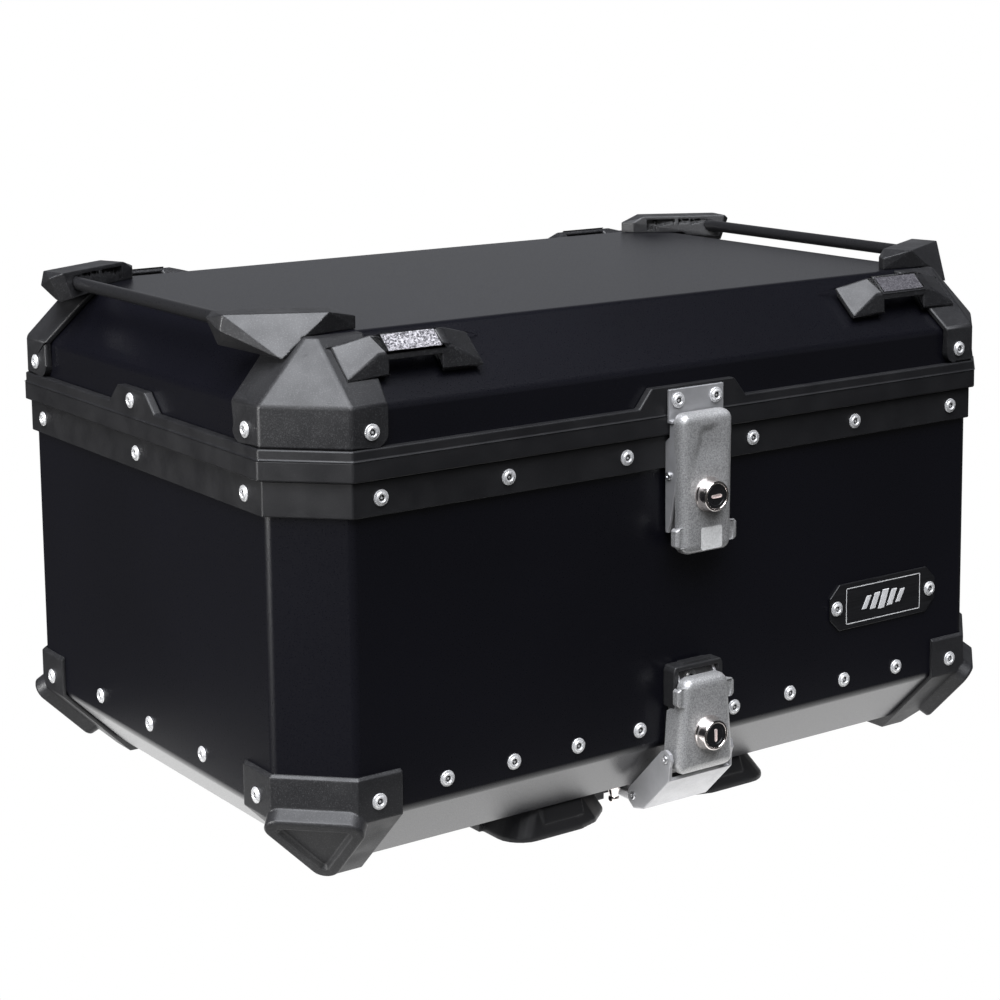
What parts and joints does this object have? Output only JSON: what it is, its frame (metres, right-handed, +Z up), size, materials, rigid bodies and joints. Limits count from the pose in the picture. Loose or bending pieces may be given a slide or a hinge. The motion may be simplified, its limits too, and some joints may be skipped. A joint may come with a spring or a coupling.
{
  "type": "motorcycle top case",
  "caption": "Riveted metal motorcycle top case with a hinged lid, plastic corner guards, luggage rails, key latches and a rack base plate.",
  "frame": {"origin": "centre of the base plate's four bolt holes, in the plane of its underside", "axes": "+Z up, away from the rack; +X along the case to the right of a person facing the latches; -Y towards the latches, +Y towards the lid hinges"},
  "size_m": [0.55, 0.4139, 0.335],
  "materials": {
    "powder_coat": "black powder coat, fine satin texture",
    "frame_plastic": "moulded black, fine grain",
    "corner_plastic": "moulded black, coarse grain",
    "bracket_plastic": "moulded black, satin",
    "rail_paint": "satin black",
    "rivet_metal": "bright",
    "reflective_tape": "retroreflective silver",
    "name_plate_metal": "brushed",
    "latch_casting": "silver, sand-blasted",
    "latch_sheet": "satin",
    "latch_black": "matte black",
    "lock_chrome": "polished",
    "lock_black": "black",
    "hinge_steel": "satin black",
    "pin_steel": "satin",
    "screw_black": "black oxide",
    "liner_rubber": "matte",
    "seal_rubber": "matte",
    "plate_plastic": "moulded black, satin",
    "hook_steel": "satin black",
    "stay_steel": "satin"
  },
  "bodies": {
    "case": {"base_plate": "plate_plastic", "body_rim": "frame_plastic", "body_rivets": "rivet_metal", "body_shell": "powder_coat", "bottom_latch_base": "latch_sheet", "bottom_latch_block": "latch_black", "bottom_latch_pin": "pin_steel", "bottom_pan": "powder_coat", "catch_bar": "pin_steel", "catch_stud": "lock_chrome", "corner_caps_front": "corner_plastic", "corner_caps_rear": "corner_plastic", "floor_liner": "liner_rubber", "hinge_leaves_body": "hinge_steel", "hinge_pins": "pin_steel", "latch_springs": "pin_steel", "name_plate": "name_plate_metal", "plate_pads": "liner_rubber", "rear_hooks": "hook_steel", "rivet_spacers": "rivet_metal", "stay_pins_body": "pin_steel", "top_latch_base": "latch_sheet", "top_latch_pin": "pin_steel"},
    "lid": {"bracket_screws": "screw_black", "grab_loops_front": "bracket_plastic", "grab_loops_rear": "bracket_plastic", "hinge_leaves_lid": "hinge_steel", "lid_corners_front": "corner_plastic", "lid_corners_rear": "corner_plastic", "lid_gasket": "seal_rubber", "lid_rim": "frame_plastic", "lid_rivets": "rivet_metal", "lid_shell": "powder_coat", "rail_bar_left": "rail_paint", "rail_bar_right": "rail_paint", "rail_bracket_front_left": "bracket_plastic", "rail_bracket_front_right": "bracket_plastic", "rail_bracket_rear_left": "bracket_plastic", "rail_bracket_rear_right": "bracket_plastic", "reflective_strips": "reflective_tape", "stay_pins_lid": "pin_steel", "strike_plate": "latch_sheet"},
    "top_latch": {"top_latch_cover": "latch_casting", "top_lock_barrel": "lock_chrome"},
    "top_release": {"top_release": "latch_casting"},
    "top_key": {"top_key_plug": "lock_black", "top_lock_cam": "pin_steel"},
    "bottom_latch": {"bottom_latch_cover": "latch_casting", "bottom_lock_barrel": "lock_chrome"},
    "bottom_release": {"bottom_release": "latch_casting"},
    "bottom_key": {"bottom_key_plug": "lock_black", "bottom_lock_cam": "pin_steel"},
    "link": {"hook_link": "latch_sheet", "hook_claw": "latch_sheet", "hook_pin": "pin_steel"},
    "stays_lower": {"stay_lower_left": "stay_steel", "stay_lower_right": "stay_steel"},
    "stays_upper": {"stay_upper_left": "stay_steel", "stay_upper_right": "stay_steel"}
  },
  "joints": [
    {"name": "lid_hinge", "type": "hinge", "parent": "case", "child": "lid", "pos_m": [0, 0.1964, 0.2482], "axis": [-1, 0, 0], "range_deg": [0, 100]},
    {"name": "stay_lower_swing", "type": "hinge", "parent": "case", "child": "stays_lower", "pos_m": [0, 0.07, 0.222], "axis": [-1, 0, 0], "range_deg": [0, 128]},
    {"name": "stay_upper_swing", "type": "hinge", "parent": "lid", "child": "stays_upper", "pos_m": [0, 0.07, 0.272], "axis": [-1, 0, 0], "range_deg": [-129, 0]},
    {"name": "top_latch_swing", "type": "hinge", "parent": "case", "child": "top_latch", "pos_m": [0, -0.192, 0.224], "axis": [1, 0, 0], "range_deg": [0, 10]},
    {"name": "top_release_slide", "type": "slide", "parent": "top_latch", "child": "top_release", "axis": [0, 0, -1], "range_m": [0, 0.003]},
    {"name": "top_key_turn", "type": "hinge", "parent": "top_latch", "child": "top_key", "pos_m": [0, -0.205, 0.2126], "axis": [0, 1, 0], "range_deg": [0, 90]},
    {"name": "bottom_latch_swing", "type": "hinge", "parent": "case", "child": "bottom_latch", "pos_m": [0, -0.1945, 0.0517], "axis": [1, 0, 0], "range_deg": [0, 45]},
    {"name": "bottom_release_slide", "type": "slide", "parent": "bottom_latch", "child": "bottom_release", "axis": [0, 0, 1], "range_m": [0, 0.002]},
    {"name": "bottom_key_turn", "type": "hinge", "parent": "bottom_latch", "child": "bottom_key", "pos_m": [0, -0.205, 0.0666], "axis": [0, 1, 0], "range_deg": [0, 90]},
    {"name": "link_swing", "type": "hinge", "parent": "case", "child": "link", "pos_m": [0, -0.1945, 0.0517], "axis": [-1, 0, 0], "range_deg": [0, 50]}
  ],
  "couplings": [
    {"joint": "stay_lower_swing", "follows": "lid_hinge", "ratio": 1.2674},
    {"joint": "stay_upper_swing", "follows": "lid_hinge", "ratio": -1.2767}
  ]
}
